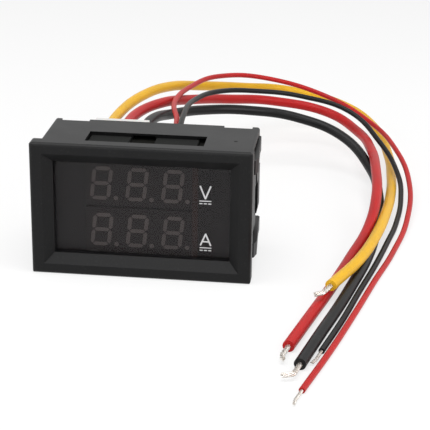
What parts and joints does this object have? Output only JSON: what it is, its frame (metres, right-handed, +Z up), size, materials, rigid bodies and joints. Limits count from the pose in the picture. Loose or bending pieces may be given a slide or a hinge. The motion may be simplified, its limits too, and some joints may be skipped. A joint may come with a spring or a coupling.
{
  "type": "digital panel meter",
  "caption": "Snap-in digital panel meter with a bevelled bezel, smoked window, stacked seven-segment displays, open-backed box, trimmers and plugged leads.",
  "frame": {"origin": "centre of the bezel's rear ring face, where it lies on the front of the panel", "axes": "+X to the right seen from the front, +Y back through the panel, +Z up"},
  "size_m": [0.0831, 0.1681, 0.03],
  "materials": {
    "black_shell": "satin",
    "smoked_window": "polished",
    "display_housing": "matte",
    "display_resin": "frosted",
    "tinned_metal": "bright",
    "board_laminate": "green solder mask",
    "chip_black": "matte",
    "resistance_wire": "bare",
    "trimmer_blue": "satin",
    "rotor_cream": "matte",
    "tantalum_yellow": "matte",
    "ceramic_tan": "matte",
    "white_nylon": "satin",
    "tinned_brass": "tinned",
    "yellow_insulation": "soft PVC",
    "red_insulation": "soft PVC",
    "black_insulation": "soft PVC",
    "tinned_copper": "tinned strands"
  },
  "bodies": {
    "meter": {"case": "black_shell", "window": "smoked_window", "upper_display": "display_housing", "upper_segments": "display_resin", "lower_display": "display_housing", "lower_segments": "display_resin", "display_pins": "tinned_metal", "circuit_board": "board_laminate", "controller_chip": "chip_black", "controller_legs": "tinned_metal", "amplifier_chip": "chip_black", "amplifier_legs": "tinned_metal", "regulator_chip": "chip_black", "regulator_legs": "tinned_metal", "shunt": "resistance_wire", "volt_trimmer": "trimmer_blue", "amp_trimmer": "trimmer_blue", "tantalum_capacitor": "tantalum_yellow", "protection_diode": "chip_black", "chip_resistors": "chip_black", "chip_capacitors": "ceramic_tan", "chip_terminals": "tinned_metal", "power_header": "white_nylon", "power_pins": "tinned_metal", "power_plug": "white_nylon", "power_terminals": "tinned_brass", "supply_header": "white_nylon", "supply_pins": "tinned_metal", "supply_plug": "white_nylon", "supply_terminals": "tinned_brass", "yellow_lead": "yellow_insulation", "red_lead": "red_insulation", "black_lead": "black_insulation", "thin_red_lead": "red_insulation", "thin_black_lead": "black_insulation", "yellow_core": "tinned_copper", "red_core": "tinned_copper", "black_core": "tinned_copper", "thin_red_core": "tinned_copper", "thin_black_core": "tinned_copper"},
    "volt_rotor": {"volt_trimmer_rotor": "rotor_cream"},
    "amp_rotor": {"amp_trimmer_rotor": "rotor_cream"}
  },
  "joints": [
    {"name": "volt_trimmer_turn", "type": "hinge", "parent": "meter", "child": "volt_rotor", "pos_m": [0.0187, 0.0095, -0.0032], "axis": [0, 1, 0], "range_deg": [-130, 130]},
    {"name": "amp_trimmer_turn", "type": "hinge", "parent": "meter", "child": "amp_rotor", "pos_m": [0.0187, 0.0095, -0.0085], "axis": [0, 1, 0], "range_deg": [-130, 130]}
  ]
}
